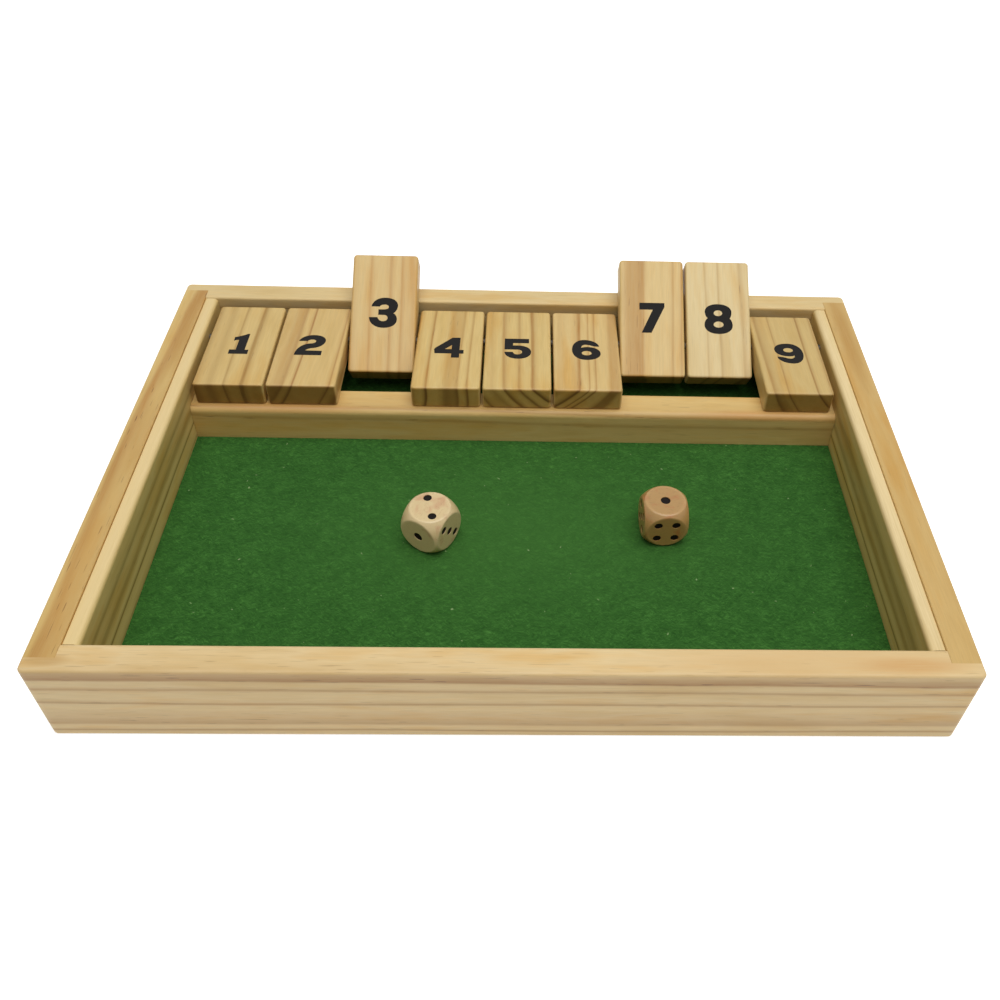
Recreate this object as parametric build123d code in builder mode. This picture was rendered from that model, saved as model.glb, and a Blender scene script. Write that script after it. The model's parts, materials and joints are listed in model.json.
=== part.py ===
from build123d import *

import os
from math import asin, atan2, cos, degrees, hypot, sin

# A shut the box game: a shallow pine box with a felt floor, nine numbered tiles on one rod behind
# a ledge, and two dice. Millimetres, +X to the right, +Y to the back and +Z up. The underside of
# the rails is at z = 0, and the origin is at the middle of the whole game's footprint, with the
# tiles that lean out over the back rail counted in.

# Tiles: flat wooden bars that all turn on one rod.
tile_count = 9
tile_width = 27.5
tile_length = 52.5
tile_thickness = 10.0
tile_edge = 1.0
tile_corner = 1.5
tile_gap = 1.0
rod_from_rear = 15.7
raised_tiles = (3, 7, 8)

# Rod: loose in the tiles' bores, snug in the holes of the strips.
rod_diameter = 3.0
rod_chamfer = 0.4
bore_clearance = 0.08
rod_seat_clearance = 0.03
rod_end_gap = 0.5

# Room for the tiles in the box, at rest and on the swing.
tile_end_gap = 2.25
ledge_margin = 2.75
seat_clearance = 0.05
tail_clearance = 2.72
tail_over_felt = 4.07
lean_clearance = 0.2
rim_over_tiles = 1.95

# Box frame: rails, lining strips and the partition that carries the tiles' front ends.
play_depth = 121.25
rail_thickness = 10.0
rail_lap = 5.0
rail_edge = 1.0
rail_corner = 2.0
seam_edge = 0.4
strip_thickness = 5.0
strip_edge = 1.8
strip_below_rim = 0.6
strip_end_gap = 0.1
partition_thickness = 12.5
partition_edge = 2.5
partition_back_edge = 1.0
partition_end_gap = 0.1

# Floor: a thin panel in grooves of the rails, with the felt on it.
panel_lift = 3.5
panel_thickness = 3.0
groove_depth = 4.0
groove_end_gap = 0.2
groove_play = 0.1
felt_thickness = 1.0
felt_inset = 0.3

# Numerals: sunk a little into both faces of each tile and filled with black ink. Each one's
# proportion is its width over its height.
numeral_height = 13.5
numeral_depth = 0.3
ink_thickness = 0.25
numeral_proportions = {1: 0.58, 2: 0.86, 3: 0.89, 4: 0.91, 5: 0.82, 6: 0.88, 7: 0.80, 8: 0.90, 9: 0.88}
curve_fullness = 0.6

# Dice: cubes turned round by a ball, with drilled and painted pips. Their places are measured from
# the middle of the box and from the inner face of the front rail.
die_size = 16.5
die_ball_radius = 11.1
die_edge = 1.0
pip_offset = 3.3
pip_radius = 1.55
single_pip_radius = 1.8
pip_depth = 0.8
pip_paint = 0.5
left_die_place = (-30.6, 68.1)
left_die_yaw = 59.4
right_die_place = (55.5, 72.8)
right_die_yaw = 3.4

# A rounding takes up no more than this share of the wall that it runs along.
widest_round = 0.45

# ------------------------------------------------------------------ sizes that follow from these

tile_pitch = tile_width + tile_gap
tile_reach = tile_length - rod_from_rear
tail_swing = hypot(rod_from_rear, tile_thickness / 2)
tile_round = min(tile_edge, widest_round * tile_thickness)
rod_radius = rod_diameter / 2
bore_radius = rod_radius + bore_clearance

# Across: the strips stand just clear of the row of tiles.
tile_row_width = tile_count * tile_pitch - tile_gap
strip_inner_x = tile_row_width / 2 + tile_end_gap
rail_inner_x = strip_inner_x + strip_thickness
half_width = rail_inner_x + rail_thickness

# Upwards: felt, partition, tiles and rim stand on each other.
panel_top = panel_lift + panel_thickness
felt_top = panel_top + felt_thickness
rod_z = felt_top + tail_swing + tail_over_felt
partition_top = rod_z - tile_thickness / 2 - seat_clearance
box_height = rod_z + tile_thickness / 2 + rim_over_tiles
strip_top = box_height - strip_below_rim

# A raised tile leans on the rounded inner top edge of the back rail. Seen from the rod, the middle
# of that rounding lies lean_y behind and lean_z above, and the tile's flat side touches it.
lean_y = tail_swing + tail_clearance + rail_edge
lean_z = box_height - rail_edge - rod_z
lean_slope = atan2(lean_z, lean_y)
lean_slope += asin((tile_thickness / 2 + rail_edge + lean_clearance) / hypot(lean_y, lean_z))
raised_turn = 180.0 - degrees(lean_slope)

# Front to back: the raised tiles reach past the back rail by the overhang.
rod_to_back = tail_swing + tail_clearance + rail_thickness
raised_reach = (tile_reach - tile_round) * cos(lean_slope)
raised_reach += (tile_thickness / 2 - tile_round) * sin(lean_slope) + tile_round
overhang = max(0.0, raised_reach - rod_to_back)
box_depth = rail_thickness + play_depth + ledge_margin + tile_reach + rod_to_back
front_y = -(box_depth + overhang) / 2
back_y = front_y + box_depth
middle_y = (front_y + back_y) / 2
front_inner_y = front_y + rail_thickness
back_inner_y = back_y - rail_thickness
partition_front_y = front_inner_y + play_depth
rod_y = partition_front_y + ledge_margin + tile_reach
inner_depth = back_inner_y - front_inner_y
side_rail_length = box_depth - 2 * (rail_thickness - rail_lap)

os.makedirs("parts", exist_ok=True)


def save(part, name):
    """Label a finished piece and write it under its own name."""
    part.label = name
    export_step(part, f"parts/{name}.step")


# ------------------------------------------------------------------------------- frame of rails


def cross_rail(outer_y, inward):
    """Front or back rail: full width, lapped over the side rails' ends and grooved for the panel."""
    lap_y = outer_y + inward * (rail_thickness - rail_lap)
    inner_y = outer_y + inward * rail_thickness
    with BuildPart() as rail:
        with BuildSketch():
            with BuildLine():
                Polyline(
                    (-half_width, outer_y),
                    (half_width, outer_y),
                    (half_width, lap_y),
                    (rail_inner_x, lap_y),
                    (rail_inner_x, inner_y),
                    (-rail_inner_x, inner_y),
                    (-rail_inner_x, lap_y),
                    (-half_width, lap_y),
                    close=True,
                )
            make_face()
        extrude(amount=box_height)
        corner_edges = rail.edges().filter_by(Axis.Z).group_by(Axis.Y)[0 if inward > 0 else -1]
        fillet(corner_edges, radius=rail_corner)
        lengthwise = rail.edges().filter_by(Axis.X).group_by(Axis.Z)
        long_edges = lengthwise[0].sort_by(SortBy.LENGTH)[-2:] + lengthwise[-1].sort_by(SortBy.LENGTH)[-2:]
        crosswise = rail.edges().filter_by(Axis.Y).group_by(Axis.X)
        end_edges = crosswise[0] + crosswise[-1]
        fillet(long_edges + end_edges, radius=rail_edge)
        with BuildSketch(Plane.XY.offset(panel_lift)):
            with Locations((0, inner_y)):
                Rectangle(2 * rail_inner_x, 2 * groove_depth)
        extrude(amount=panel_thickness + groove_play, mode=Mode.SUBTRACT)
    return rail.part


def side_rail(side):
    """Left or right rail: let into the laps of the cross rails and grooved for the panel."""
    with BuildPart() as rail:
        with BuildSketch():
            with Locations((side * (rail_inner_x + rail_thickness / 2), middle_y)):
                Rectangle(rail_thickness, side_rail_length)
        extrude(amount=box_height)
        inward = 0 if side > 0 else -1
        outward = -1 - inward
        seam = rail.edges().filter_by(Axis.Y).group_by(Axis.Z)[-1].sort_by(Axis.X)[inward]
        fillet(seam, radius=seam_edge)
        lengthwise = rail.edges().filter_by(Axis.Y).group_by(Axis.Z)
        fillet(lengthwise[0] + [lengthwise[-1].sort_by(Axis.X)[outward]], radius=rail_edge)
        with BuildSketch(Plane.XY.offset(panel_lift)):
            with Locations((side * rail_inner_x, middle_y)):
                Rectangle(2 * groove_depth, side_rail_length)
        extrude(amount=panel_thickness + groove_play, mode=Mode.SUBTRACT)
    return rail.part


save(cross_rail(front_y, 1), "front_rail")
save(cross_rail(back_y, -1), "back_rail")
save(side_rail(-1), "left_rail")
save(side_rail(1), "right_rail")

# ------------------------------------------------------------------------------ floor and lining

with BuildPart() as base_panel:
    panel_overlap = groove_depth - groove_end_gap
    with BuildSketch(Plane.XY.offset(panel_lift)):
        with Locations((0, middle_y)):
            Rectangle(2 * (rail_inner_x + panel_overlap), inner_depth + 2 * panel_overlap)
    extrude(amount=panel_thickness)
save(base_panel.part, "base_panel")

with BuildPart() as felt_mat:
    with BuildSketch(Plane.XY.offset(panel_top)):
        with Locations((0, middle_y)):
            Rectangle(2 * (rail_inner_x - felt_inset), inner_depth - 2 * felt_inset)
    extrude(amount=felt_thickness)
save(felt_mat.part, "felt_mat")


def lining_strip(side):
    """Strip on the inside of a side rail, its inner top edge well rounded, with a hole for the rod."""
    with BuildPart() as strip:
        with BuildSketch(Plane.XY.offset(felt_top)):
            with Locations((side * (strip_inner_x + strip_thickness / 2), middle_y)):
                Rectangle(strip_thickness, inner_depth - 2 * strip_end_gap)
        extrude(amount=strip_top - felt_top)
        top_edges = strip.edges().filter_by(Axis.Y).group_by(Axis.Z)[-1]
        inner_edge, seam = top_edges.sort_by(lambda edge: abs(edge.center().X))
        fillet(inner_edge, radius=min(strip_edge, widest_round * strip_thickness))
        fillet(seam, radius=seam_edge)
        with BuildSketch(Plane.YZ.offset(side * strip_inner_x)):
            with Locations((rod_y, rod_z)):
                Circle(rod_radius + rod_seat_clearance)
        extrude(amount=side * strip_thickness, mode=Mode.SUBTRACT)
    return strip.part


save(lining_strip(-1), "left_strip")
save(lining_strip(1), "right_strip")

with BuildPart() as partition:
    with BuildSketch(Plane.XY.offset(felt_top)):
        with Locations((0, partition_front_y + partition_thickness / 2)):
            Rectangle(2 * (strip_inner_x - partition_end_gap), partition_thickness)
    extrude(amount=partition_top - felt_top)
    ledge_edges = partition.edges().filter_by(Axis.X).group_by(Axis.Z)[-1].sort_by(Axis.Y)
    fillet(ledge_edges[0], radius=partition_edge)
    fillet(ledge_edges[1], radius=partition_back_edge)
save(partition.part, "partition")

# -------------------------------------------------------------------------------- rod and tiles

with BuildPart() as pivot_rod:
    rod_half_length = rail_inner_x - rod_end_gap
    with BuildSketch(Plane.YZ):
        with Locations((rod_y, rod_z)):
            Circle(rod_radius)
    extrude(amount=rod_half_length, both=True)
    chamfer(pivot_rod.edges().filter_by(GeomType.CIRCLE), length=rod_chamfer)
save(pivot_rod.part, "pivot_rod")

# Each numeral is drawn in a unit square, u to the right and v up, and stretched to its real size.
# A plain point is reached by a straight line, and a (corner, end) pair by a curve round the corner.
six_outline = [
    (0.00, 0.48),
    ((0.00, 1.00), (0.45, 1.00)),
    ((0.84, 1.00), (0.95, 0.74)),
    (0.96, 0.67),
    ((0.80, 0.66), (0.68, 0.71)),
    ((0.58, 0.76), (0.48, 0.755)),
    ((0.33, 0.74), (0.33, 0.60)),
    ((0.40, 0.645), (0.55, 0.645)),
    ((1.00, 0.64), (1.00, 0.33)),
    ((1.00, 0.00), (0.49, 0.00)),
    ((0.00, 0.00), (0.00, 0.48)),
]
numeral_outlines = {
    1: [
        (0.00, 0.00),
        (1.00, 0.00),
        (1.00, 0.21),
        (0.80, 0.21),
        (0.82, 1.00),
        (0.70, 1.00),
        ((0.50, 0.90), (0.08, 0.83)),
        (0.08, 0.64),
        ((0.24, 0.70), (0.34, 0.69)),
        (0.33, 0.21),
        (0.00, 0.21),
    ],
    2: [
        (0.00, 0.00),
        (0.95, 0.00),
        (0.95, 0.22),
        (0.36, 0.23),
        ((0.42, 0.33), (0.62, 0.35)),
        ((1.00, 0.41), (1.00, 0.71)),
        ((1.00, 1.00), (0.55, 1.00)),
        ((0.12, 1.00), (0.05, 0.69)),
        (0.36, 0.69),
        ((0.40, 0.77), (0.52, 0.77)),
        ((0.66, 0.77), (0.66, 0.69)),
        ((0.66, 0.59), (0.50, 0.58)),
        ((0.00, 0.54), (0.00, 0.00)),
    ],
    3: [
        (0.07, 0.70),
        ((0.13, 1.00), (0.55, 1.00)),
        ((1.00, 1.00), (1.00, 0.74)),
        ((1.00, 0.57), (0.85, 0.49)),
        ((0.98, 0.43), (0.98, 0.28)),
        ((0.98, 0.00), (0.51, 0.00)),
        ((0.02, 0.00), (0.00, 0.35)),
        (0.30, 0.35),
        ((0.33, 0.22), (0.49, 0.22)),
        ((0.65, 0.22), (0.65, 0.325)),
        ((0.65, 0.425), (0.52, 0.425)),
        (0.32, 0.425),
        (0.32, 0.61),
        (0.52, 0.61),
        ((0.68, 0.61), (0.68, 0.69)),
        ((0.68, 0.77), (0.54, 0.77)),
        ((0.40, 0.77), (0.36, 0.70)),
    ],
    4: [
        (0.59, 0.00),
        (0.86, 0.00),
        (0.86, 0.20),
        (1.00, 0.20),
        (1.00, 0.385),
        (0.86, 0.385),
        (0.86, 1.00),
        (0.59, 1.00),
        (0.04, 0.48),
        (0.00, 0.40),
        (0.03, 0.20),
        (0.59, 0.20),
    ],
    5: [
        (0.00, 1.00),
        (0.00, 0.45),
        (0.48, 0.45),
        ((0.66, 0.45), (0.66, 0.335)),
        ((0.66, 0.215), (0.48, 0.215)),
        ((0.34, 0.215), (0.32, 0.335)),
        (0.00, 0.335),
        ((0.02, 0.00), (0.50, 0.00)),
        ((1.00, 0.00), (1.00, 0.34)),
        ((1.00, 0.66), (0.50, 0.66)),
        (0.32, 0.66),
        (0.32, 0.775),
        (0.92, 0.775),
        (0.92, 1.00),
    ],
    6: six_outline,
    7: [
        (0.00, 1.00),
        (0.00, 0.77),
        (0.53, 0.77),
        (0.08, 0.00),
        (0.47, 0.00),
        (1.00, 0.87),
        (1.00, 1.00),
    ],
    8: [
        (0.48, 1.00),
        ((0.02, 1.00), (0.02, 0.735)),
        ((0.02, 0.60), (0.12, 0.525)),
        ((0.00, 0.45), (0.00, 0.30)),
        ((0.00, 0.00), (0.50, 0.00)),
        ((1.00, 0.00), (1.00, 0.29)),
        ((1.00, 0.44), (0.90, 0.525)),
        ((0.97, 0.60), (0.97, 0.73)),
        ((0.97, 1.00), (0.48, 1.00)),
    ],
    9: six_outline,
}
# The closed counters: a triangle in the 4, and ovals as (centre, half width, half height).
four_counter = [(0.37, 0.42), (0.59, 0.42), (0.59, 0.62)]
oval_counters = {
    6: [((0.51, 0.335), 0.17, 0.105)],
    8: [((0.49, 0.695), 0.15, 0.095), ((0.50, 0.315), 0.175, 0.10)],
    9: [((0.51, 0.335), 0.17, 0.105)],
}


def numeral_point(point, width):
    """Point of the unit square in millimetres from the numeral's middle."""
    return Vector((point[0] - 0.5) * width, (point[1] - 0.5) * numeral_height)


def trace(outline, width):
    """Draw a closed outline of straight and curved stretches into the line that is being built."""
    start = numeral_point(outline[0], width)
    here = start
    for step in outline[1:]:
        if isinstance(step[0], tuple):
            corner, end = (numeral_point(point, width) for point in step)
            leave = here + (corner - here) * curve_fullness
            arrive = end + (corner - end) * curve_fullness
            Bezier(here, leave, arrive, end)
        else:
            end = numeral_point(step, width)
            Line(here, end)
        here = end
    if (start - here).length > 0:
        Line(here, start)


def numeral_face(number, plane):
    """Flat shape of a numeral on a plane: the 9 is the 6 turned half round."""
    width = numeral_proportions[number] * numeral_height
    turned = plane.rotated((0, 0, 180)) if number == 9 else plane
    with BuildSketch(turned) as numeral:
        with BuildLine():
            trace(numeral_outlines[number], width)
        make_face()
        if number == 4:
            with BuildLine():
                trace(four_counter, width)
            make_face(mode=Mode.SUBTRACT)
        for centre, half_wide, half_high in oval_counters.get(number, []):
            with Locations(numeral_point(centre, width)):
                Ellipse(half_wide * width, half_high * numeral_height, mode=Mode.SUBTRACT)
    return numeral.sketch


def tile_pieces(number):
    """One tile with its bore and sunk numerals, and the ink that fills them, where they rest."""
    turn = raised_turn if number in raised_tiles else 0.0
    on_rod = Plane(
        origin=((number - (tile_count + 1) / 2) * tile_pitch, rod_y, rod_z),
        x_dir=(1, 0, 0),
        z_dir=Vector(0, 0, 1).rotate(Axis.X, -turn),
    )
    centre = on_rod.origin + on_rod.y_dir * (rod_from_rear - tile_length / 2)
    body = Plane(origin=centre, x_dir=on_rod.x_dir, z_dir=on_rod.z_dir)
    upper = body.offset(tile_thickness / 2)
    lower = Plane(origin=centre, x_dir=body.x_dir, z_dir=-body.z_dir).offset(tile_thickness / 2)
    with BuildPart() as tile:
        with BuildSketch(lower):
            Rectangle(tile_width, tile_length)
        extrude(amount=-tile_thickness)
        fillet(tile.edges().filter_by(Axis(centre, body.z_dir)), radius=tile_corner)
        faces = tile.faces().sort_by(Axis(centre, body.z_dir))
        fillet(faces[0].edges() + faces[-1].edges(), radius=tile_round)
        with BuildSketch(Plane(origin=on_rod.origin, z_dir=on_rod.x_dir)):
            Circle(bore_radius)
        extrude(amount=tile_width, both=True, mode=Mode.SUBTRACT)
        for face in (upper, lower):
            extrude(numeral_face(number, face), amount=-numeral_depth, mode=Mode.SUBTRACT)
    with BuildPart() as ink:
        for face in (upper, lower):
            extrude(numeral_face(number, face.offset(-numeral_depth)), amount=ink_thickness)
    return tile.part, ink.part


for tile_number in range(1, tile_count + 1):
    tile_part, ink_part = tile_pieces(tile_number)
    save(tile_part, f"tile_{tile_number}")
    save(ink_part, f"number_{tile_number}")

# ----------------------------------------------------------------------------------------- dice


def pip_spots(count, slant):
    """Places of the pips on one face, in pip offsets. The slant turns the diagonal over."""
    spots = [(0, 0)] if count % 2 else []
    if count > 1:
        spots += [(-1, -slant), (1, slant)]
    if count > 3:
        spots += [(-1, slant), (1, -slant)]
    if count > 5:
        spots += [(-1, 0), (1, 0)]
    return spots


def die_pieces(place, yaw, faces):
    """A die with its drilled pips, and the paint in them. Each face is named by the direction it
    looks in before the die is turned, with its count of pips and the slant of their diagonal."""
    centre = (place[0], front_inner_y + place[1], felt_top + die_size / 2)
    body = Plane(origin=centre).rotated((0, 0, yaw))
    outward = {
        "top": body.z_dir,
        "bottom": -body.z_dir,
        "front": -body.y_dir,
        "back": body.y_dir,
        "left": -body.x_dir,
        "right": body.x_dir,
    }
    drillings = []
    for name, (count, slant) in faces.items():
        normal = outward[name]
        across = body.x_dir if name in ("top", "bottom") else body.z_dir.cross(normal)
        hole_bottom = Plane(origin=body.origin, x_dir=across, z_dir=normal).offset(die_size / 2 - pip_depth)
        with BuildSketch(hole_bottom) as drilling:
            with Locations(*[(pip_offset * u, pip_offset * v) for u, v in pip_spots(count, slant)]):
                Circle(single_pip_radius if count == 1 else pip_radius)
        drillings.append(drilling.sketch)
    with BuildPart() as die:
        with BuildSketch(body.offset(-die_size / 2)):
            Rectangle(die_size, die_size)
        extrude(amount=die_size)
        with Locations(body.location):
            Sphere(die_ball_radius, mode=Mode.INTERSECT)
        fillet(die.edges().filter_by(GeomType.CIRCLE), radius=die_edge)
        for drilling in drillings:
            extrude(drilling, amount=pip_depth, mode=Mode.SUBTRACT)
    with BuildPart() as paint:
        for drilling in drillings:
            extrude(drilling, amount=pip_paint)
    return die.part, paint.part


left_faces = {"top": (2, 1), "bottom": (5, 1), "front": (3, -1), "back": (4, 1), "left": (1, 1), "right": (6, 1)}
right_faces = {"top": (1, 1), "bottom": (6, 1), "front": (4, 1), "back": (3, 1), "left": (5, 1), "right": (2, 1)}
left_die, left_pips = die_pieces(left_die_place, left_die_yaw, left_faces)
right_die, right_pips = die_pieces(right_die_place, right_die_yaw, right_faces)
save(left_die, "die_left")
save(left_pips, "die_left_pips")
save(right_die, "die_right")
save(right_pips, "die_right_pips")
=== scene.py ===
import json
from math import cos, radians, sin

import bmesh
import bpy
from mathutils import Euler, Matrix, Vector, noise


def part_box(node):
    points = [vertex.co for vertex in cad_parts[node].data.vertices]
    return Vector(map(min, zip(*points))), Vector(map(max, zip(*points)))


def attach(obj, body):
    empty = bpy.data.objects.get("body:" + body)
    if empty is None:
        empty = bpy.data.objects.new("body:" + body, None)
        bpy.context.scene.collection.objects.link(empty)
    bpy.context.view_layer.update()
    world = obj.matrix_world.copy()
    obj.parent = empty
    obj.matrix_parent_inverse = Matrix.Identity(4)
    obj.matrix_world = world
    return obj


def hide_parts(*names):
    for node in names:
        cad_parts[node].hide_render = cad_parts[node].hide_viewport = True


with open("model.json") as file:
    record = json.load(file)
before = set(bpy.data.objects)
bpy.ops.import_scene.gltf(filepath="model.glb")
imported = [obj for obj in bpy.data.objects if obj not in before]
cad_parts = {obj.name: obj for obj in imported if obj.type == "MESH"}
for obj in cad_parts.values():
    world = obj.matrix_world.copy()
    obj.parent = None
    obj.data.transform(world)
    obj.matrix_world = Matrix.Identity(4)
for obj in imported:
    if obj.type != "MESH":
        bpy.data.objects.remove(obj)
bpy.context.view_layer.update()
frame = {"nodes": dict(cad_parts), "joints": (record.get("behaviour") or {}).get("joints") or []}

# ---------------------------------------------------------------------------------------- studio
# The box stands on a plain white floor, under one wide soft lamp overhead and a dim white room.
# Its tops are bright, the tray's walls stay dark, and the floor lights up the outer faces.
mm_per_m = 1000

# The camera of the photograph: its place, its turn and the middle of its picture were worked out
# from the corners of the box.
picture_px = 1000
sensor_mm = 36.0
focal_px = 983.97
principal_px = (559.06, 458.40)
camera_place_mm = (3.04, -267.84, 285.31)
camera_turn_deg = (45.957, -2.005, -0.931)

camera_data = bpy.data.cameras.new("camera")
camera_data.sensor_width = sensor_mm
camera_data.lens = focal_px * sensor_mm / picture_px
camera_data.shift_x = (picture_px / 2 - principal_px[0]) / picture_px
camera_data.shift_y = (principal_px[1] - picture_px / 2) / picture_px
camera = bpy.data.objects.new("camera", camera_data)
camera.location = Vector(camera_place_mm) / mm_per_m
camera.rotation_euler = Euler([radians(turn) for turn in camera_turn_deg])
bpy.context.scene.collection.objects.link(camera)
bpy.context.scene.camera = camera
bpy.context.scene.view_settings.view_transform = "Standard"

# One square soft lamp, more than a metre above the box and aimed at its middle.
lamp_place_mm = (130, -160, 1330)
lamp_size_mm = 1300
lamp_watts = 16.0

lamp_data = bpy.data.lights.new("soft_lamp", "AREA")
lamp_data.shape = "SQUARE"
lamp_data.size = lamp_size_mm / mm_per_m
lamp_data.energy = lamp_watts
lamp = bpy.data.objects.new("soft_lamp", lamp_data)
lamp.location = Vector(lamp_place_mm) / mm_per_m
lamp.rotation_euler = lamp.location.to_track_quat("Z", "Y").to_euler()
bpy.context.scene.collection.objects.link(lamp)


def linear(code):
    """Linear colour of an sRGB hex code such as #DEC48E, by the standard's own curve."""
    parts = [int(code[at:at + 2], 16) / 255 for at in (1, 3, 5)]
    return [c / 12.92 if c <= 0.04045 else ((c + 0.055) / 1.055) ** 2.4 for c in parts] + [1.0]


def add(tree, kind, values=None, give=None, stops=None, **settings):
    """Add one shader node and return its output socket, the first one or the one named by give.
    Settings are the node's own. Values go to its inputs, and one that is a socket is linked."""
    made = tree.nodes.new("ShaderNode" + kind)
    for name, setting in settings.items():
        setattr(made, name, setting)
    for key, value in (values or {}).items():
        socket = made.inputs[key] if isinstance(key, int) else None
        socket = socket or next(s for s in made.inputs if key in (s.identifier, s.name))
        if isinstance(value, bpy.types.NodeSocket):
            tree.links.new(value, socket)
        else:
            socket.default_value = value
    if stops:
        ramp = made.color_ramp
        while len(ramp.elements) < len(stops):
            ramp.elements.new(1.0)
        for element, (position, shade) in zip(ramp.elements, stops):
            element.position = position
            element.color = shade if isinstance(shade, list) else (shade, shade, shade, 1.0)
    if give:
        return next(s for s in made.outputs if give in (s.identifier, s.name))
    return made.outputs[0] if made.outputs else None


def new_tree(name):
    """A new material and its empty node tree."""
    made = bpy.data.materials.new(name)
    made.use_nodes = True
    made.node_tree.nodes.clear()
    return made, made.node_tree


# The room lights the box dimly, but is plain white wherever it is seen, also in a reflection.
room_strength = 0.22

room = bpy.data.worlds.new("room")
room.use_nodes = True
tree = room.node_tree
tree.nodes.clear()
rays = add(tree, "LightPath", give="Is Camera Ray").node
seen = add(tree, "Math", {0: rays.outputs["Is Camera Ray"], 1: rays.outputs["Is Glossy Ray"]},
           operation="MAXIMUM")
seen = add(tree, "Math", {0: seen, 1: rays.outputs["Is Transmission Ray"]}, operation="MAXIMUM")
strength = add(tree, "MapRange", {"Value": seen, "To Min": room_strength, "To Max": 1.0})
white = add(tree, "Background", {"Color": linear("#FFFFFF"), "Strength": strength})
add(tree, "OutputWorld", {"Surface": white})
bpy.context.scene.world = room

# Painted board floor: matt white. The camera sees it a little lifted, so that it runs into the
# white room, and its shadows stay. From below it is clear, so that the underside can be looked at.
floor_half_mm = 3000
floor_drop_mm = 0.2
floor_lift = 0.6

painted_board, tree = new_tree("painted_board")
rays = add(tree, "LightPath", give="Is Camera Ray").node
seen = add(tree, "Math", {0: rays.outputs["Is Camera Ray"], 1: rays.outputs["Is Glossy Ray"]},
           operation="MAXIMUM")
lift = add(tree, "Math", {0: seen, 1: floor_lift}, operation="MULTIPLY")
matt = add(tree, "BsdfDiffuse", {"Color": linear("#F6F6F4")})
glow = add(tree, "Emission", {"Color": linear("#FFFFFF"), "Strength": lift})
board = add(tree, "AddShader", {0: matt, 1: glow})
clear = add(tree, "BsdfTransparent")
below = add(tree, "NewGeometry", give="Backfacing")
add(tree, "OutputMaterial", {"Surface": add(tree, "MixShader", {0: below, 1: board, 2: clear})})

floor_shape = bmesh.new()
bmesh.ops.create_grid(floor_shape, x_segments=1, y_segments=1, size=floor_half_mm / mm_per_m)
floor_mesh = bpy.data.meshes.new("floor")
floor_shape.to_mesh(floor_mesh)
floor_shape.free()
floor = bpy.data.objects.new("floor", floor_mesh)
floor.location.z = -floor_drop_mm / mm_per_m
floor_mesh.materials.append(painted_board)
bpy.context.scene.collection.objects.link(floor)

# ----------------------------------------------------------------------------------- frame rails
# Four planed pine boards, glued at lapped corners and finished with a clear satin lacquer. The
# front and back boards run the full width. Their growth rings lie flat in the top faces and show
# as long stripes on the outer faces.

# The wood's patterns, each by its real size across, across and along the grain. Every piece has its
# own seed and takes its wood from another place of them.
fibre_mm = (0.35, 0.35, 11.0)
duct_mm = (0.36, 0.36, 8.0)
figure_mm = (26.0, 26.0, 150.0)
cloud_mm = (9.0, 9.0, 55.0)
next_board_mm = (13.7, 29.3, 71.9)
next_board_rings = 3.1
uneven_rings = 2.4
ring_relief = 0.5

# These turn a board that lies along x or y so that its grain runs along z, as the patterns do.
to_grain = {
    "x": Matrix(((0, 1, 0), (0, 0, 1), (1, 0, 0))),
    "y": Matrix(((1, 0, 0), (0, 0, 1), (0, -1, 0))),
}

# A Mix node joins two colours: B as a layer over A, or as a glaze that darkens A.
layer = dict(give="Result_Color", data_type="RGBA")
glaze = dict(give="Result_Color", data_type="RGBA", blend_type="MULTIPLY")


def per_mm(size_mm):
    """The scale that gives a pattern its real size along each axis."""
    return [1 / size for size in size_mm]


def growth_rings(tree, place, own, ring_mm, wobble_mm, seed):
    """The share of dark summer wood at each point. The rings are counted outwards from the pith,
    wander by wobble_mm, are unevenly wide, and differ in strength from year to year."""
    figure = add(tree, "TexNoise", {
        "Vector": add(tree, "VectorMath", {0: own, 1: per_mm(figure_mm)}, operation="MULTIPLY"),
        "Scale": 1.0, "Detail": 2.0, "Roughness": 0.45,
    })
    without_length = add(tree, "VectorMath", {0: place, 1: (1, 1, 0)}, operation="MULTIPLY")
    radius = add(tree, "VectorMath", {0: without_length}, operation="LENGTH", give="Value")
    wander = add(tree, "MapRange", {"Value": figure, "To Min": -wobble_mm, "To Max": wobble_mm})
    radius = add(tree, "Math", {0: radius, 1: wander}, operation="ADD")
    rings = add(tree, "Math", {0: radius, 1: ring_mm}, operation="DIVIDE")
    own_rings = add(tree, "Math", {0: rings, 1: seed * next_board_rings}, operation="ADD")
    uneven = add(tree, "TexNoise", {"W": own_rings, "Scale": 0.6, "Detail": 1.0},
                 noise_dimensions="1D")
    rings = add(tree, "Math", {0: uneven, 1: uneven_rings, 2: rings}, operation="MULTIPLY_ADD")
    season = add(tree, "Math", {0: rings}, operation="FRACT")
    summer = add(tree, "ValToRGB", {"Fac": season}, stops=[
        (0.0, 0.3), (0.12, 0.05), (0.45, 0.0), (0.7, 0.3), (0.87, 1.0), (0.94, 0.9), (1.0, 0.3)])
    year = add(tree, "Math", {0: rings}, operation="FLOOR")
    year = add(tree, "TexWhiteNoise", {"W": year}, noise_dimensions="1D")
    year = add(tree, "MapRange", {"Value": year, "To Min": 0.15, "To Max": 1.0})
    return add(tree, "Math", {0: summer, 1: year}, operation="MULTIPLY")


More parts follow.
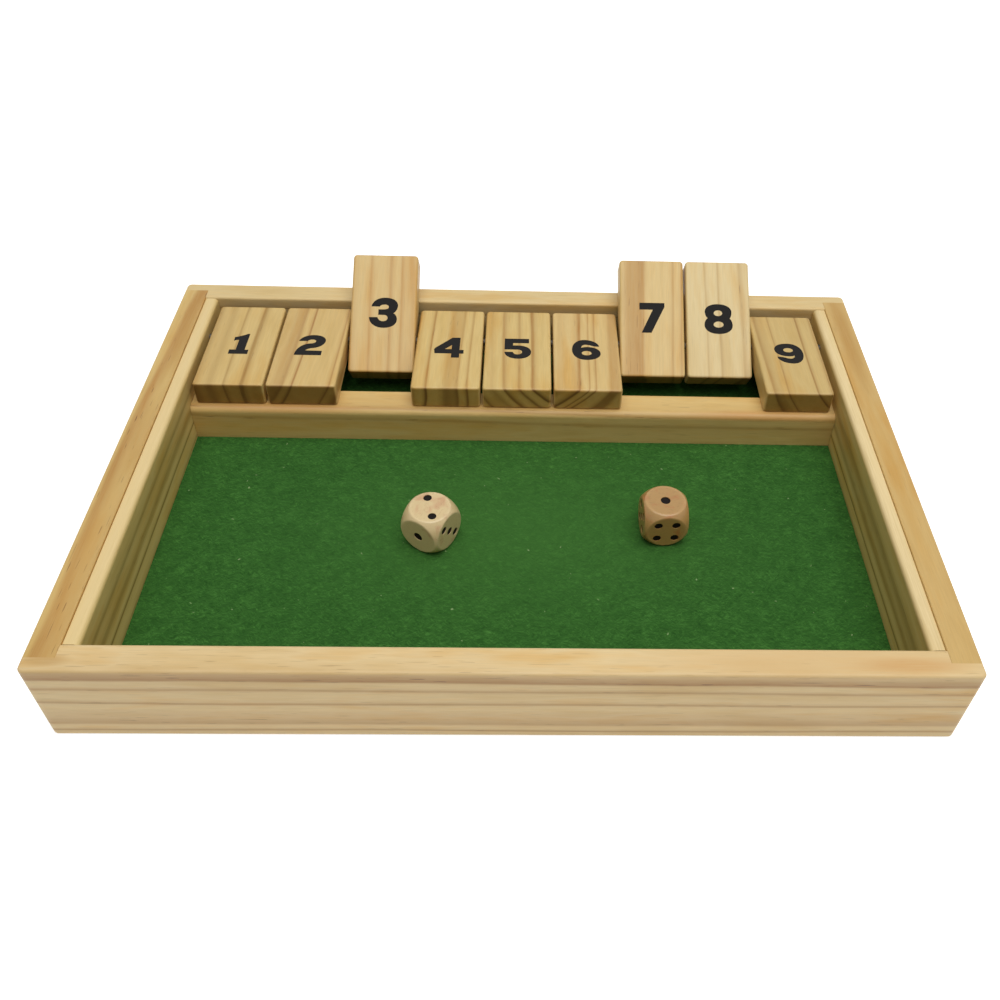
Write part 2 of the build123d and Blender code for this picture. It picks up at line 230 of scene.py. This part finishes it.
def streaked(tree, tint, strong, top_mm, streaks):
    """The tint with oval streaks, which fade out from their middle and are broken up by the fibres.
    A streak has its middle, counted from the middle of the piece's top, and its reach, both in
    millimetres along x, y and z, its colour and its share."""
    for middle_mm, reach_mm, colour, share in streaks:
        away = add(tree, "Mapping", {
            "Vector": add(tree, "TexCoord", give="Object"),
            "Location": [-(top + middle) / reach
                         for top, middle, reach in zip(top_mm, middle_mm, reach_mm)],
            "Scale": [mm_per_m / reach for reach in reach_mm],
        })
        away = add(tree, "VectorMath", {0: away}, operation="LENGTH", give="Value")
        patch = add(tree, "MapRange", {"Value": away, "From Min": 1.0, "From Max": 0.25,
                                       "To Max": share}, interpolation_type="SMOOTHSTEP")
        patch = add(tree, "Math", {0: patch, 1: strong}, operation="MULTIPLY")
        tint = add(tree, "Mix", {"Factor_Float": patch, "A_Color": tint,
                                 "B_Color": linear(colour)}, **layer)
    return tint


def pine(name, node, grain, pith, ring_mm, slope_deg, early, late, seed, turned_deg=0.0,
         ducts=1.0, wobble_mm=3.0, end_shade="#B5A07C", streaks=()):
    """Lacquered pine: broad pale spring wood that darkens slowly to a sharp summer line, fine
    fibres, and short brown resin ducts. Its ends are darker, because they soak up the lacquer.

    Grain is the board's long axis, and slope_deg is the fibres' lean out of it. Pith is where the
    tree's middle lay, as an angle in degrees and a distance in millimetres seen along the grain,
    so each face cuts the rings as a real board does. Turned_deg is how far a piece is swung up
    from how it was sawn."""
    low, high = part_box(node)
    middle_mm = (low + high) / 2 * mm_per_m
    top_mm = (middle_mm.x, middle_mm.y, high.z * mm_per_m)
    pith_deg, pith_mm = pith
    along = to_grain[grain] @ Matrix.Rotation(radians(turned_deg), 3, "X")
    board = Matrix.Rotation(radians(slope_deg), 3, "Y") @ along
    heart_mm = Vector((cos(radians(pith_deg)), sin(radians(pith_deg)), 0)) * pith_mm

    made, tree = new_tree(name)
    place = add(tree, "Mapping", {
        "Vector": add(tree, "TexCoord", give="Object"),
        "Location": -(board @ middle_mm) - heart_mm,
        "Rotation": board.to_euler(),
        "Scale": [mm_per_m] * 3,
    })
    own = add(tree, "VectorMath", {0: place, 1: [seed * step for step in next_board_mm]},
              operation="ADD")
    summer = growth_rings(tree, place, own, ring_mm, wobble_mm, seed)

    # Fibres along the grain, and resin ducts, which lie mostly in the summer wood.
    fibre = add(tree, "TexNoise", {
        "Vector": add(tree, "VectorMath", {0: own, 1: per_mm(fibre_mm)}, operation="MULTIPLY"),
        "Scale": 1.0, "Detail": 2.0, "Roughness": 0.6,
    })
    duct = add(tree, "TexNoise", {
        "Vector": add(tree, "VectorMath", {0: own, 1: per_mm(duct_mm)}, operation="MULTIPLY"),
        "Scale": 1.0, "Detail": 0.0,
    })
    duct = add(tree, "MapRange", {"Value": duct, "From Min": 0.74, "From Max": 0.79,
                                  "To Max": ducts})
    duct_share = add(tree, "MapRange", {"Value": summer, "To Min": 0.12, "To Max": 1.0})
    duct = add(tree, "Math", {0: duct, 1: duct_share}, operation="MULTIPLY")

    # Colour: spring and summer wood, warm clouds, fibres, ducts and streaks.
    strong = add(tree, "MapRange", {"Value": fibre, "From Min": 0.3, "From Max": 0.7,
                                    "To Min": 0.75, "To Max": 1.1})
    summer_share = add(tree, "Math", {0: summer, 1: strong}, operation="MULTIPLY")
    tint = add(tree, "Mix", {"Factor_Float": summer_share, "A_Color": linear(early),
                             "B_Color": linear(late)}, **layer)
    cloud = add(tree, "TexNoise", {
        "Vector": add(tree, "VectorMath", {0: own, 1: per_mm(cloud_mm)}, operation="MULTIPLY"),
        "Scale": 1.0, "Detail": 3.0, "Roughness": 0.6,
    })
    cloud = add(tree, "ValToRGB", {"Fac": cloud}, stops=[
        (0.3, linear("#F4EDDD")), (0.5, linear("#FFFFFF")), (0.72, linear("#F7E5C0"))])
    tint = add(tree, "Mix", {"Factor_Float": 1.0, "A_Color": tint, "B_Color": cloud}, **glaze)
    fine = add(tree, "MapRange", {"Value": fibre, "From Min": 0.25, "From Max": 0.75,
                                  "To Min": 0.93, "To Max": 1.05})
    tint = add(tree, "Mix", {"Factor_Float": 1.0, "A_Color": tint, "B_Color": fine}, **glaze)
    tint = add(tree, "Mix", {"Factor_Float": duct, "A_Color": tint,
                             "B_Color": linear("#6A4218")}, **layer)
    tint = streaked(tree, tint, strong, top_mm, streaks)

    # End grain: a darker tint, and each summer line as a brown arc.
    end_way = along.transposed() @ Vector((0, 0, 1))
    facing = add(tree, "VectorMath", {0: add(tree, "TexCoord", give="Normal"), 1: end_way},
                 operation="DOT_PRODUCT", give="Value")
    facing = add(tree, "Math", {0: facing}, operation="ABSOLUTE")
    end_grain = add(tree, "MapRange", {"Value": facing, "From Min": 0.6, "From Max": 0.9})
    tint = add(tree, "Mix", {"Factor_Float": end_grain, "A_Color": tint,
                             "B_Color": linear(end_shade)}, **glaze)
    end_rings = add(tree, "Math", {0: end_grain, 1: summer}, operation="MULTIPLY")
    tint = add(tree, "Mix", {"Factor_Float": end_rings, "A_Color": tint,
                             "B_Color": linear("#6B4A1E")}, **layer)

    # Surface: the lacquer fills most of the grain, so the relief is slight and the gloss is satin.
    relief = add(tree, "Math", {0: summer, 1: ring_relief, 2: fibre}, operation="MULTIPLY_ADD")
    relief = add(tree, "Bump", {"Height": relief, "Strength": 0.35, "Distance": 0.00006})
    gloss = add(tree, "MapRange", {"Value": fibre, "To Min": 0.40, "To Max": 0.58})
    wood = add(tree, "BsdfPrincipled", {
        "Base Color": tint, "Roughness": gloss, "IOR": 1.5, "Specular IOR Level": 0.4,
        "Coat Weight": 0.12, "Coat Roughness": 0.25, "Normal": relief,
    })
    add(tree, "OutputMaterial", {"Surface": wood})
    return made


def finish_node(node, made):
    """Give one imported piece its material, in every slot."""
    for material_slot in frame["nodes"][node].material_slots:
        material_slot.material = made


finish_node("front_rail", pine(
    "lacquered_pine_front", "front_rail", "x", pith=(78, 62), ring_mm=8.2, slope_deg=0.5, seed=1,
    early="#E8CD98", late="#AE8048", wobble_mm=2.4,
    streaks=[((95, 0, 0), (75, 9, 4), "#D9B277", 0.6),
             ((122, -1, 0), (24, 4, 3), "#CF9750", 0.5),
             ((-138, -1, 0), (10, 3, 3), "#B98F4C", 0.6)],
))
finish_node("back_rail", pine(
    "lacquered_pine_back", "back_rail", "x", pith=(100, 70), ring_mm=7.4, slope_deg=-0.4, seed=2,
    early="#E0C68E", late="#B68E54",
))
finish_node("left_rail", pine(
    "lacquered_pine_left", "left_rail", "y", pith=(84, 55), ring_mm=6.5, slope_deg=0.9, seed=3,
    early="#DCBD78", late="#B88A48",
    streaks=[((2, 76, 0), (3.5, 42, 4), "#B5853A", 0.5),
             ((0, -60, 0), (5, 48, 4), "#CC9E52", 0.3)],
))
finish_node("right_rail", pine(
    "lacquered_pine_right", "right_rail", "y", pith=(95, 60), ring_mm=7.0, slope_deg=-0.7, seed=4,
    early="#D2AF6C", late="#AF8040",
    streaks=[((0, 68, 0), (4.5, 50, 4), "#B07F30", 0.6),
             ((-1, -18, 0), (3, 60, 4), "#C6943E", 0.35)],
))

# ---------------------------------------------------------------------------------- lining strips
# A thin pine strip is glued inside each side board, on top of the felt, and holds the rod's end.
# Its inner top edge is well rounded, its outer one meets the board in a fine seam, and its inner
# face shows dark lengthwise stripes. A pale band along its top, which runs down over the rounded
# inner edge, is painted light.
finish_node("left_strip", pine(
    "lacquered_pine_left_strip", "left_strip", "y", pith=(70, 48), ring_mm=9.0, slope_deg=1.0,
    seed=5, early="#E3C67E", late="#8A6826", wobble_mm=2.0,
    # The streak is the painted light band along the top and the rounded inner edge.
    streaks=[((0, 2, 0.6), (6, 260, 3), "#E9CF97", 0.95)],
))
finish_node("right_strip", pine(
    "lacquered_pine_right_strip", "right_strip", "y", pith=(110, 50), ring_mm=9.5, slope_deg=-0.8,
    seed=6, early="#E3C67E", late="#8A6826", wobble_mm=2.0,
    # The streak is the painted light band along the top and the rounded inner edge.
    streaks=[((0, 2, 0.6), (6, 260, 3), "#EDD5A0", 0.95)],
))

# -------------------------------------------------------------------------------------- partition
# The pine bar between tray and trough, glued on the felt. The tiles' front ends lie on its top. Its
# long top edge towards the tray is rounded, and two stretches of it have an orange tint.
finish_node("partition", pine(
    "lacquered_pine_partition", "partition", "x", pith=(60, 75), ring_mm=9.0, slope_deg=1.2, seed=7,
    early="#DDBC79", late="#AB8040",
    streaks=[((-95, -5, -0.5), (45, 3.5, 3), "#C98E4B", 0.5),
             ((100, -5, -0.5), (42, 3.5, 3), "#C98E4B", 0.55)],
))

# ------------------------------------------------------------------------------------- base panel
# Thin poplar plywood let into grooves of the four rails. Only its underside can be seen: a peeled
# veneer with broad wavy figure, sanded but not lacquered.
veneer_mm = (60, 9, 9)
veneer_waves = 46.0
pore_mm = (5, 0.4, 0.4)


def poplar_veneer(name):
    """Peeled poplar: pale, woolly and matt, with wide wandering figure and fine short pores."""
    made, tree = new_tree(name)
    place = add(tree, "Mapping", {"Vector": add(tree, "TexCoord", give="Object"),
                                  "Scale": [mm_per_m] * 3})
    broad = add(tree, "TexNoise", {
        "Vector": add(tree, "VectorMath", {0: place, 1: per_mm(veneer_mm)}, operation="MULTIPLY"),
        "Scale": 1.0, "Detail": 3.0, "Distortion": 0.8,
    })
    wave = add(tree, "Math", {0: broad, 1: veneer_waves}, operation="MULTIPLY")
    wave = add(tree, "Math", {0: wave}, operation="SINE")
    figure = add(tree, "MapRange", {"Value": wave, "From Min": -1.0})
    pores = add(tree, "TexNoise", {
        "Vector": add(tree, "VectorMath", {0: place, 1: per_mm(pore_mm)}, operation="MULTIPLY"),
        "Scale": 1.0, "Detail": 2.0,
    })
    tint = add(tree, "Mix", {"Factor_Float": figure, "A_Color": linear("#DCC49C"),
                             "B_Color": linear("#C4A478")}, **layer)
    shade = add(tree, "MapRange", {"Value": pores, "From Min": 0.3, "From Max": 0.7,
                                   "To Min": 0.86, "To Max": 1.04})
    tint = add(tree, "Mix", {"Factor_Float": 1.0, "A_Color": tint, "B_Color": shade}, **glaze)
    relief = add(tree, "Bump", {"Height": pores, "Strength": 0.5, "Distance": 0.0001})
    veneer = add(tree, "BsdfPrincipled", {"Base Color": tint, "Roughness": 0.78, "IOR": 1.45,
                                          "Specular IOR Level": 0.3, "Normal": relief})
    add(tree, "OutputMaterial", {"Surface": veneer})
    return made


finish_node("base_panel", poplar_veneer("poplar_plywood"))

# ------------------------------------------------------------------------------------------- felt
# A rectangle of green needle felt, a millimetre thick, glued flat on the panel. It runs on under
# the strips and the partition. Its fibres lie every way, with a few pale ones on top, and a pool
# of painted light makes it a little lighter in the middle of the tray.
felt_step_mm = 1.6
felt_hollow_mm = 0.14
felt_wave_mm = 7.0
felt_fine_share = 0.5
felt_fine_shift_mm = 9
felt_seat_mm = 0.02
felt_low, felt_high = (corner * mm_per_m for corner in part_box("felt_mat"))
felt_wide_mm = felt_high.x - felt_low.x
felt_deep_mm = felt_high.y - felt_low.y


def felt_cloth():
    """The cloth as a thin closed slab, whose top is uneven by a little and never above the CAD's.
    A grid one unit wide and deep is spread over the felt and closed with a skirt and a back."""
    shape = bmesh.new()
    bmesh.ops.create_grid(shape, x_segments=round(felt_wide_mm / felt_step_mm),
                          y_segments=round(felt_deep_mm / felt_step_mm), size=0.5)
    for vert in shape.verts:
        x = felt_low.x + (vert.co.x + 0.5) * felt_wide_mm
        y = felt_low.y + (vert.co.y + 0.5) * felt_deep_mm
        dip = noise.noise(Vector((x, y, 0)) / felt_wave_mm)
        dip += felt_fine_share * noise.noise(Vector((x, y, felt_fine_shift_mm)) / felt_step_mm)
        z = felt_high.z - felt_hollow_mm * min(1.0, abs(dip))
        vert.co = Vector((x, y, z)) / mm_per_m
    rim = [edge for edge in shape.edges if edge.is_boundary]
    skirt = bmesh.ops.extrude_edge_only(shape, edges=rim)["geom"]
    for vert in (item for item in skirt if isinstance(item, bmesh.types.BMVert)):
        vert.co.z = (felt_low.z + felt_seat_mm) / mm_per_m
    bmesh.ops.contextual_create(shape, geom=[edge for edge in shape.edges if edge.is_boundary])
    bmesh.ops.recalc_face_normals(shape, faces=shape.faces)
    mesh = bpy.data.meshes.new("felt_cloth")
    shape.to_mesh(mesh)
    shape.free()
    mesh.shade_smooth()
    made = bpy.data.objects.new("felt_cloth", mesh)
    bpy.context.scene.collection.objects.link(made)
    return made


# The fibres' strokes: how each layer is turned and how long its strokes are, how wide they all are
# and how far they bend. The pool of painted light is placed from the middle of the felt.
stroke_layers = ((4, 2.4), (-32, 1.9), (41, 1.9))
stroke_width_mm = 0.34
stroke_bend_mm = (4, 4, 0)
thin_patch_share = 0.4
painted_light_middle_mm = (0, -18)
painted_light_reach_mm = (120, 62)


def needle_felt(name):
    """Needled polyester: matted fibres of several greens lying in short strokes, matt, with a soft
    fuzz that catches light at a low angle. The strokes are drawn coarser than the real fibres."""
    made, tree = new_tree(name)
    place = add(tree, "Mapping", {"Vector": add(tree, "TexCoord", give="Object"),
                                  "Scale": [mm_per_m] * 3})
    bend = add(tree, "TexNoise", {"Vector": place, "Scale": 0.22, "Detail": 2.0}, give="Color")
    bent = add(tree, "VectorMath", {0: bend, 1: stroke_bend_mm, 2: place},
               operation="MULTIPLY_ADD")
    matted = add(tree, "TexNoise", {"Vector": place, "Scale": 0.16, "Detail": 4.0,
                                    "Roughness": 0.6})
    matted = add(tree, "Math", {0: matted, 1: thin_patch_share}, operation="MULTIPLY")
    for turn_deg, long_mm in stroke_layers:
        laid = add(tree, "Mapping", {"Vector": bent, "Rotation": (0, 0, radians(turn_deg))})
        laid = add(tree, "VectorMath", {0: laid, 1: per_mm((long_mm, stroke_width_mm, 1))},
                   operation="MULTIPLY")
        strokes = add(tree, "TexNoise", {"Vector": laid, "Scale": 1.0, "Detail": 3.0,
                                         "Roughness": 0.65})
        matted = add(tree, "Math", {0: matted, 1: strokes}, operation="ADD")
    depth = add(tree, "MapRange", {"Value": matted, "From Min": 1.2, "From Max": 2.2})
    tint = add(tree, "ValToRGB", {"Fac": depth}, stops=[
        (0.0, linear("#1C4414")), (0.42, linear("#2E5C23")), (0.6, linear("#376829")),
        (1.0, linear("#528A3E"))])

    # A pool of painted light in the middle of the tray, and bits of pale lint.
    felt_middle = (felt_low + felt_high) / 2
    light = add(tree, "Mapping", {
        "Vector": place,
        "Location": [-(felt_middle.x + painted_light_middle_mm[0]) / painted_light_reach_mm[0],
                     -(felt_middle.y + painted_light_middle_mm[1]) / painted_light_reach_mm[1], 0],
        "Scale": per_mm(painted_light_reach_mm) + [0],
    })
    light = add(tree, "VectorMath", {0: light}, operation="LENGTH", give="Value")
    light = add(tree, "MapRange", {"Value": light, "From Min": 1.0, "From Max": 0.0,
                                   "To Max": 0.5}, interpolation_type="SMOOTHSTEP")
    tint = add(tree, "Mix", {"Factor_Float": light, "A_Color": tint,
                             "B_Color": linear("#427331")}, **layer)
    lint = add(tree, "TexNoise", {"Vector": bent, "Scale": 0.55, "Detail": 1.0})
    lint = add(tree, "MapRange", {"Value": lint, "From Min": 0.77, "From Max": 0.81,
                                  "To Max": 0.6})
    tint = add(tree, "Mix", {"Factor_Float": lint, "A_Color": tint,
                             "B_Color": linear("#A9C08A")}, **layer)
    relief = add(tree, "Bump", {"Height": matted, "Strength": 0.8, "Distance": 0.00025})
    cloth = add(tree, "BsdfPrincipled", {
        "Base Color": tint, "Roughness": 0.95, "IOR": 1.45, "Specular IOR Level": 0.15,
        "Sheen Weight": 0.12, "Sheen Roughness": 0.5, "Sheen Tint": linear("#8CC084"),
        "Normal": relief,
    })
    add(tree, "OutputMaterial", {"Surface": cloth})
    return made


felt = felt_cloth()
felt.data.materials.append(needle_felt("needle_felt"))
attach(felt, "box")
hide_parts("felt_mat")

# -------------------------------------------------------------------------------------------- rod
# One drawn steel rod, three millimetres thick, runs through all nine tiles and into the strips.
# It is dulled by handling, and little of it can be seen between the tiles.
die_line_mm = (20, 0.12, 0.12)


def drawn_steel(name):
    """Drawn mild steel, dulled by handling: grey, with fine lengthwise die lines and dull patches."""
    made, tree = new_tree(name)
    place = add(tree, "Mapping", {"Vector": add(tree, "TexCoord", give="Object"),
                                  "Scale": [mm_per_m] * 3})
    lines = add(tree, "TexNoise", {
        "Vector": add(tree, "VectorMath", {0: place, 1: per_mm(die_line_mm)},
                      operation="MULTIPLY"),
        "Scale": 1.0, "Detail": 2.0,
    })
    dull = add(tree, "TexNoise", {"Vector": place, "Scale": 0.12, "Detail": 3.0})
    gloss = add(tree, "MapRange", {"Value": dull, "From Min": 0.3, "From Max": 0.7,
                                   "To Min": 0.5, "To Max": 0.68})
    tint = add(tree, "Mix", {"Factor_Float": lines, "A_Color": linear("#56524B"),
                             "B_Color": linear("#716B61")}, **layer)
    relief = add(tree, "Bump", {"Height": lines, "Strength": 0.3, "Distance": 0.00002})
    steel = add(tree, "BsdfPrincipled", {"Base Color": tint, "Metallic": 1.0, "Roughness": gloss,
                                         "Normal": relief})
    add(tree, "OutputMaterial", {"Surface": steel})
    return made


finish_node("pivot_rod", drawn_steel("drawn_steel"))

# ----------------------------------------------------------------------------- tiles and numerals
# Nine pine tiles, cut from planed strip with the grain along them, so every end shows its rings.
# The numerals are printed in matt black ink on both faces, and the raised tiles show the second one.
tile_cuts = {
    1: dict(pith=(2, 60), ring_mm=9.5, early="#D9BB79", late="#A07A38", slope_deg=0.4),
    2: dict(pith=(150, 45), ring_mm=7.5, early="#D8B978", late="#A06E30", slope_deg=2.2),
    3: dict(pith=(8, 70), ring_mm=9.0, early="#DBBC7C", late="#BC8A42", slope_deg=0.4),
    4: dict(pith=(176, 50), ring_mm=7.8, early="#DBBE7B", late="#AC803C", slope_deg=0.8,
            end_shade="#D6C6A4"),
    5: dict(pith=(42, 40), ring_mm=5.5, early="#DABD7A", late="#A67836", slope_deg=-0.6,
            end_shade="#E0D2B4"),
    6: dict(pith=(136, 38), ring_mm=5.2, early="#DCBE7F", late="#AC7A36", slope_deg=0.9,
            end_shade="#DACBAA"),
    7: dict(pith=(170, 65), ring_mm=10.5, early="#DEC080", late="#B98A40", slope_deg=-0.8),
    8: dict(pith=(14, 60), ring_mm=8.0, early="#E2CA92", late="#BD9A5C", slope_deg=0.5),
    9: dict(pith=(35, 42), ring_mm=6.4, early="#D0B373", late="#9F7636", slope_deg=-1.0,
            end_shade="#C6B490"),
}
first_tile_seed = 11

# A tile that is raised at rest can only swing down again, so the lower limit of its hinge tells
# how far it was turned up from lying flat. A flat tile's lower limit is nought.
raised_deg = {hinge["child"]: -hinge["range_deg"][0]
              for hinge in frame["joints"] if hinge["type"] == "hinge"}


def printing_ink(name):
    """Screen printing ink: dense matt black that sinks a little into the grain, so that its gloss
    and tone vary by a touch."""
    made, tree = new_tree(name)
    place = add(tree, "Mapping", {"Vector": add(tree, "TexCoord", give="Object"),
                                  "Scale": [mm_per_m] * 3})
    grain = add(tree, "TexNoise", {"Vector": place, "Scale": 2.2, "Detail": 4.0, "Roughness": 0.7})
    tint = add(tree, "Mix", {"Factor_Float": grain, "A_Color": linear("#080706"),
                             "B_Color": linear("#171412")}, **layer)
    gloss = add(tree, "MapRange", {"Value": grain, "To Min": 0.6, "To Max": 0.8})
    relief = add(tree, "Bump", {"Height": grain, "Strength": 0.3, "Distance": 0.00005})
    film = add(tree, "BsdfPrincipled", {"Base Color": tint, "Roughness": gloss, "IOR": 1.48,
                                        "Specular IOR Level": 0.2, "Normal": relief})
    add(tree, "OutputMaterial", {"Surface": film})
    return made


ink = printing_ink("black_printing_ink")
for seed, (number, cut) in enumerate(tile_cuts.items(), first_tile_seed):
    tile = f"tile_{number}"
    finish_node(tile, pine(f"lacquered_pine_{tile}", tile, "y", seed=seed, ducts=0.5,
                           wobble_mm=2.4, turned_deg=raised_deg[tile], **cut))
    finish_node(f"number_{number}", ink)

# ------------------------------------------------------------------------------------------- dice
# Two beech dice, sawn square and tumbled until their corners are part of a ball. The pips are
# drilled and dabbed with black paint. The right one is of darker, redder wood.
ball_mm = 11.1
ball_fade_mm = (0.8, 0.2)
facet_fade_mm = (0.6, 0.1)
fleck_mm = (1.3, 0.22, 0.22)
next_die_mm = (17.0, 5.0, 11.0)


def beech(name, node, yaw_deg, pale, warm, deep, edge, seed):
    """Steamed beech, tumbled smooth and waxed: even and close-grained, with small dark flecks and
    warm clouds. The paler rim where the flat faces meet the ball is a painted highlight."""
    low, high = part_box(node)
    middle_mm = (low + high) / 2 * mm_per_m
    facet_mm = (high.z - low.z) / 2 * mm_per_m
    turn = Matrix.Rotation(radians(-yaw_deg), 3, "Z")
    made, tree = new_tree(name)
    place = add(tree, "Mapping", {
        "Vector": add(tree, "TexCoord", give="Object"),
        "Location": -(turn @ middle_mm),
        "Rotation": turn.to_euler(),
        "Scale": [mm_per_m] * 3,
    })
    own = add(tree, "VectorMath", {0: place, 1: [seed * step for step in next_die_mm]},
              operation="ADD")
    fleck = add(tree, "TexNoise", {
        "Vector": add(tree, "VectorMath", {0: own, 1: per_mm(fleck_mm)}, operation="MULTIPLY"),
        "Scale": 1.0, "Detail": 1.0,
    })
    fleck = add(tree, "MapRange", {"Value": fleck, "From Min": 0.6, "From Max": 0.75,
                                   "To Max": 0.4})
    cloud = add(tree, "TexNoise", {"Vector": own, "Scale": 0.17, "Detail": 3.0,
                                   "Roughness": 0.55, "Distortion": 0.6})
    tint = add(tree, "ValToRGB", {"Fac": cloud}, stops=[
        (0.36, linear(pale)), (0.52, linear(pale)), (0.66, linear(warm))])
    tint = add(tree, "Mix", {"Factor_Float": fleck, "A_Color": tint,
                             "B_Color": linear(deep)}, **layer)

    # The rim's painted highlight: where a point is both far out on a flat face and near the ball.
    reach = add(tree, "VectorMath", {0: place}, operation="LENGTH", give="Value")
    rim = add(tree, "MapRange", {"Value": reach, "From Min": ball_mm - ball_fade_mm[0],
                                 "From Max": ball_mm - ball_fade_mm[1]})
    sides = add(tree, "VectorMath", {0: place}, operation="ABSOLUTE")
    sides = add(tree, "SeparateXYZ", {"Vector": sides}).node
    flat = add(tree, "Math", {0: sides.outputs["X"], 1: sides.outputs["Y"]}, operation="MAXIMUM")
    flat = add(tree, "Math", {0: flat, 1: sides.outputs["Z"]}, operation="MAXIMUM")
    flat = add(tree, "MapRange", {"Value": flat, "From Min": facet_mm - facet_fade_mm[0],
                                  "From Max": facet_mm - facet_fade_mm[1], "To Max": 0.4})
    rim = add(tree, "Math", {0: rim, 1: flat}, operation="MULTIPLY")
    tint = add(tree, "Mix", {"Factor_Float": rim, "A_Color": tint,
                             "B_Color": linear(edge)}, **layer)
    relief = add(tree, "Bump", {"Height": fleck, "Strength": 0.3, "Distance": 0.00005},
                 invert=True)
    wood = add(tree, "BsdfPrincipled", {
        "Base Color": tint, "Roughness": 0.36, "IOR": 1.5,
        "Coat Weight": 0.25, "Coat Roughness": 0.2, "Normal": relief,
    })
    add(tree, "OutputMaterial", {"Surface": wood})
    return made


def pip_paint(name):
    """Black paint dabbed into drilled pips and dried dull: near black, browner where it is thin."""
    made, tree = new_tree(name)
    place = add(tree, "Mapping", {"Vector": add(tree, "TexCoord", give="Object"),
                                  "Scale": [mm_per_m] * 3})
    pooled = add(tree, "TexNoise", {"Vector": place, "Scale": 1.1, "Detail": 2.0})
    tint = add(tree, "Mix", {"Factor_Float": pooled, "A_Color": linear("#080504"),
                             "B_Color": linear("#160D08")}, **layer)
    gloss = add(tree, "MapRange", {"Value": pooled, "To Min": 0.5, "To Max": 0.7})
    enamel = add(tree, "BsdfPrincipled", {"Base Color": tint, "Roughness": gloss, "IOR": 1.5,
                                          "Specular IOR Level": 0.12})
    add(tree, "OutputMaterial", {"Surface": enamel})
    return made


paint = pip_paint("black_enamel")
# Each die's edge colour is the painted highlight on its rims.
finish_node("die_left", beech(
    "beech_pale", "die_left", yaw_deg=59.4, seed=1,
    pale="#DCC390", warm="#CFA67A", deep="#9A7040", edge="#E2CC9C",
))
finish_node("die_right", beech(
    "beech_red", "die_right", yaw_deg=3.4, seed=2,
    pale="#B28A50", warm="#B27440", deep="#744A22", edge="#C79F66",
))
finish_node("die_left_pips", paint)
finish_node("die_right_pips", paint)
